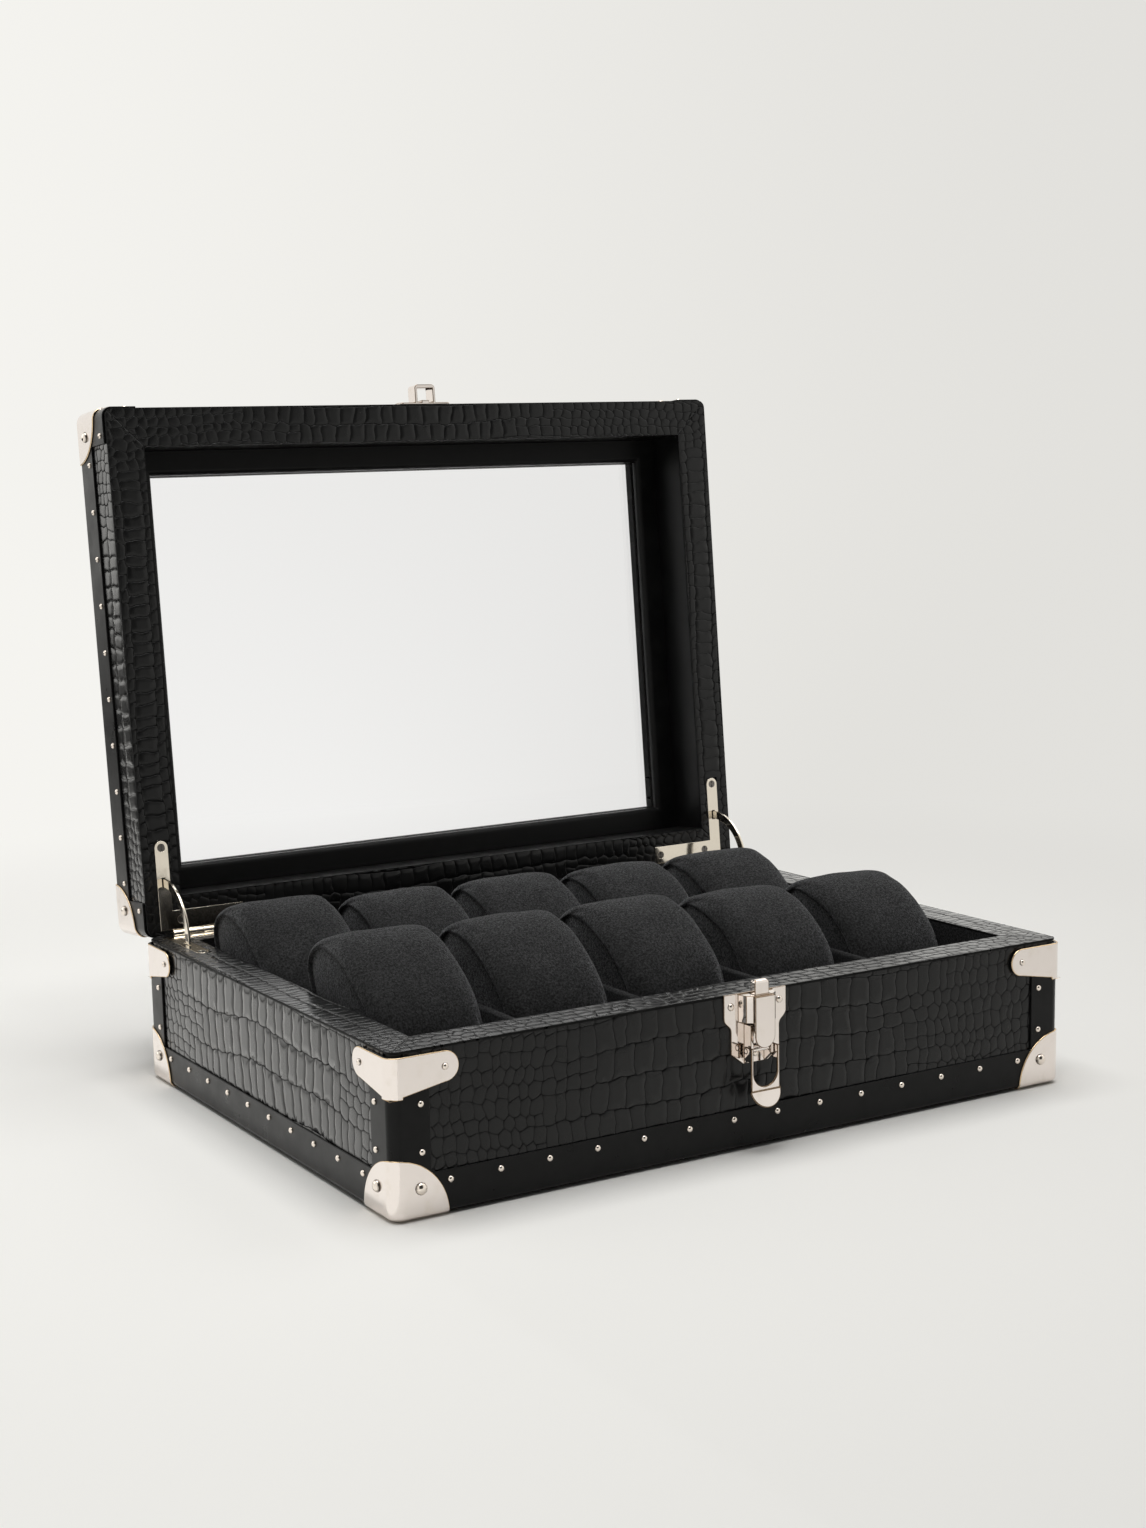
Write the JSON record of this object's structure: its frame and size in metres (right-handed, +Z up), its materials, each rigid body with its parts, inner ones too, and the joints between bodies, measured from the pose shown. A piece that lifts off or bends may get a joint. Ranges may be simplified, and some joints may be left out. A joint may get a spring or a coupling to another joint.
{
  "type": "watch box",
  "caption": "Leather-covered watch box with a hinged glass lid on quadrant stays, metal corners, a sprung front latch and lift-out padded cushions in divided wells.",
  "frame": {"origin": "centre of the underside, on the surface that the box stands on", "axes": "+X to the right along the front, +Y to the back where the hinges are, +Z up"},
  "size_m": [0.3654, 0.337, 0.3426],
  "materials": {
    "wood": "raw board",
    "rest_board": "dark board",
    "embossed_leather": "satin, reptile grain embossed",
    "smooth_leather": "smooth satin",
    "lid_leather": "smooth satin",
    "suede": "short-napped suede",
    "cushion_suede": "short-napped suede",
    "felt": "felt",
    "nickel": "polished warm nickel",
    "hinge_metal": "polished, gold tinted",
    "screw_steel": "dark steel",
    "glass": "clear"
  },
  "bodies": {
    "base": {"base_binding_back": "smooth_leather", "base_binding_front": "smooth_leather", "base_binding_left": "smooth_leather", "base_binding_right": "smooth_leather", "base_cap_rivets": "nickel", "base_caps": "nickel", "base_carcass": "wood", "base_clips": "nickel", "base_corner_strips": "smooth_leather", "base_floor_lining": "suede", "base_nails": "nickel", "base_rim_leather": "embossed_leather", "base_side_leather": "embossed_leather", "base_underside": "felt", "base_wall_lining": "suede", "cross_dividers": "suede", "cushion_rests": "rest_board", "hinge_base_leaf_left": "hinge_metal", "hinge_base_leaf_right": "hinge_metal", "hinge_base_screws": "screw_steel", "hinge_pin_left": "hinge_metal", "hinge_pin_right": "hinge_metal", "latch_plate": "nickel", "latch_rivets": "nickel", "lever_pivot": "nickel", "long_divider": "suede"},
    "lid": {"glass_bead": "lid_leather", "glass_pane": "glass", "hinge_lid_leaf_left": "hinge_metal", "hinge_lid_leaf_right": "hinge_metal", "hinge_lid_screws": "screw_steel", "keeper": "nickel", "keeper_rivets": "nickel", "lid_binding_back": "smooth_leather", "lid_binding_front": "smooth_leather", "lid_binding_left": "smooth_leather", "lid_binding_right": "smooth_leather", "lid_cap_rivets": "nickel", "lid_caps": "nickel", "lid_corner_strips": "smooth_leather", "lid_frame": "wood", "lid_lining": "lid_leather", "lid_nails": "nickel", "lid_rim_leather": "embossed_leather", "lid_side_leather": "embossed_leather", "lid_top_leather": "embossed_leather"},
    "stay_arm_left": {"stay_arm_left": "hinge_metal"},
    "stay_arm_right": {"stay_arm_right": "hinge_metal"},
    "latch_lever": {"latch_lever": "nickel"},
    "latch_tongue": {"latch_tongue": "nickel"},
    "cushion_back_1": {"cushion_back_1": "cushion_suede"},
    "cushion_back_2": {"cushion_back_2": "cushion_suede"},
    "cushion_back_3": {"cushion_back_3": "cushion_suede"},
    "cushion_back_4": {"cushion_back_4": "cushion_suede"},
    "cushion_back_5": {"cushion_back_5": "cushion_suede"},
    "cushion_front_1": {"cushion_front_1": "cushion_suede"},
    "cushion_front_2": {"cushion_front_2": "cushion_suede"},
    "cushion_front_3": {"cushion_front_3": "cushion_suede"},
    "cushion_front_4": {"cushion_front_4": "cushion_suede"},
    "cushion_front_5": {"cushion_front_5": "cushion_suede"}
  },
  "joints": [
    {"name": "lid_hinge", "type": "hinge", "parent": "base", "child": "lid", "pos_m": [0, 0.1311, 0.0712], "axis": [-1, 0, 0], "range_deg": [-95, 0]},
    {"name": "stay_left", "type": "hinge", "parent": "base", "child": "stay_arm_left", "pos_m": [-0.1685, 0.1311, 0.0712], "axis": [-1, 0, 0], "range_deg": [-47.5, 0]},
    {"name": "stay_right", "type": "hinge", "parent": "base", "child": "stay_arm_right", "pos_m": [0.1685, 0.1311, 0.0712], "axis": [-1, 0, 0], "range_deg": [-47.5, 0]},
    {"name": "lever_swing", "type": "hinge", "parent": "base", "child": "latch_lever", "pos_m": [0, -0.1352, 0.0456], "axis": [-1, 0, 0], "range_deg": [0, 100], "stiffness_Nm_per_rad": 0.004, "springref_deg": -28.65},
    {"name": "tongue_slide", "type": "slide", "parent": "base", "child": "latch_tongue", "axis": [0, 0, -1], "range_m": [0, 0.0065]},
    {"name": "lift_back_1", "type": "slide", "parent": "base", "child": "cushion_back_1", "axis": [0, 0, 1], "range_m": [0, 0.09]},
    {"name": "lift_back_2", "type": "slide", "parent": "base", "child": "cushion_back_2", "axis": [0, 0, 1], "range_m": [0, 0.09]},
    {"name": "lift_back_3", "type": "slide", "parent": "base", "child": "cushion_back_3", "axis": [0, 0, 1], "range_m": [0, 0.09]},
    {"name": "lift_back_4", "type": "slide", "parent": "base", "child": "cushion_back_4", "axis": [0, 0, 1], "range_m": [0, 0.09]},
    {"name": "lift_back_5", "type": "slide", "parent": "base", "child": "cushion_back_5", "axis": [0, 0, 1], "range_m": [0, 0.09]},
    {"name": "lift_front_1", "type": "slide", "parent": "base", "child": "cushion_front_1", "axis": [0, 0, 1], "range_m": [0, 0.09]},
    {"name": "lift_front_2", "type": "slide", "parent": "base", "child": "cushion_front_2", "axis": [0, 0, 1], "range_m": [0, 0.09]},
    {"name": "lift_front_3", "type": "slide", "parent": "base", "child": "cushion_front_3", "axis": [0, 0, 1], "range_m": [0, 0.09]},
    {"name": "lift_front_4", "type": "slide", "parent": "base", "child": "cushion_front_4", "axis": [0, 0, 1], "range_m": [0, 0.09]},
    {"name": "lift_front_5", "type": "slide", "parent": "base", "child": "cushion_front_5", "axis": [0, 0, 1], "range_m": [0, 0.09]}
  ],
  "couplings": [
    {"joint": "stay_left", "follows": "lid_hinge", "ratio": 0.5},
    {"joint": "stay_right", "follows": "lid_hinge", "ratio": 0.5},
    {"joint": "lever_swing", "follows": "tongue_slide", "rad_per_m": 268.5}
  ]
}
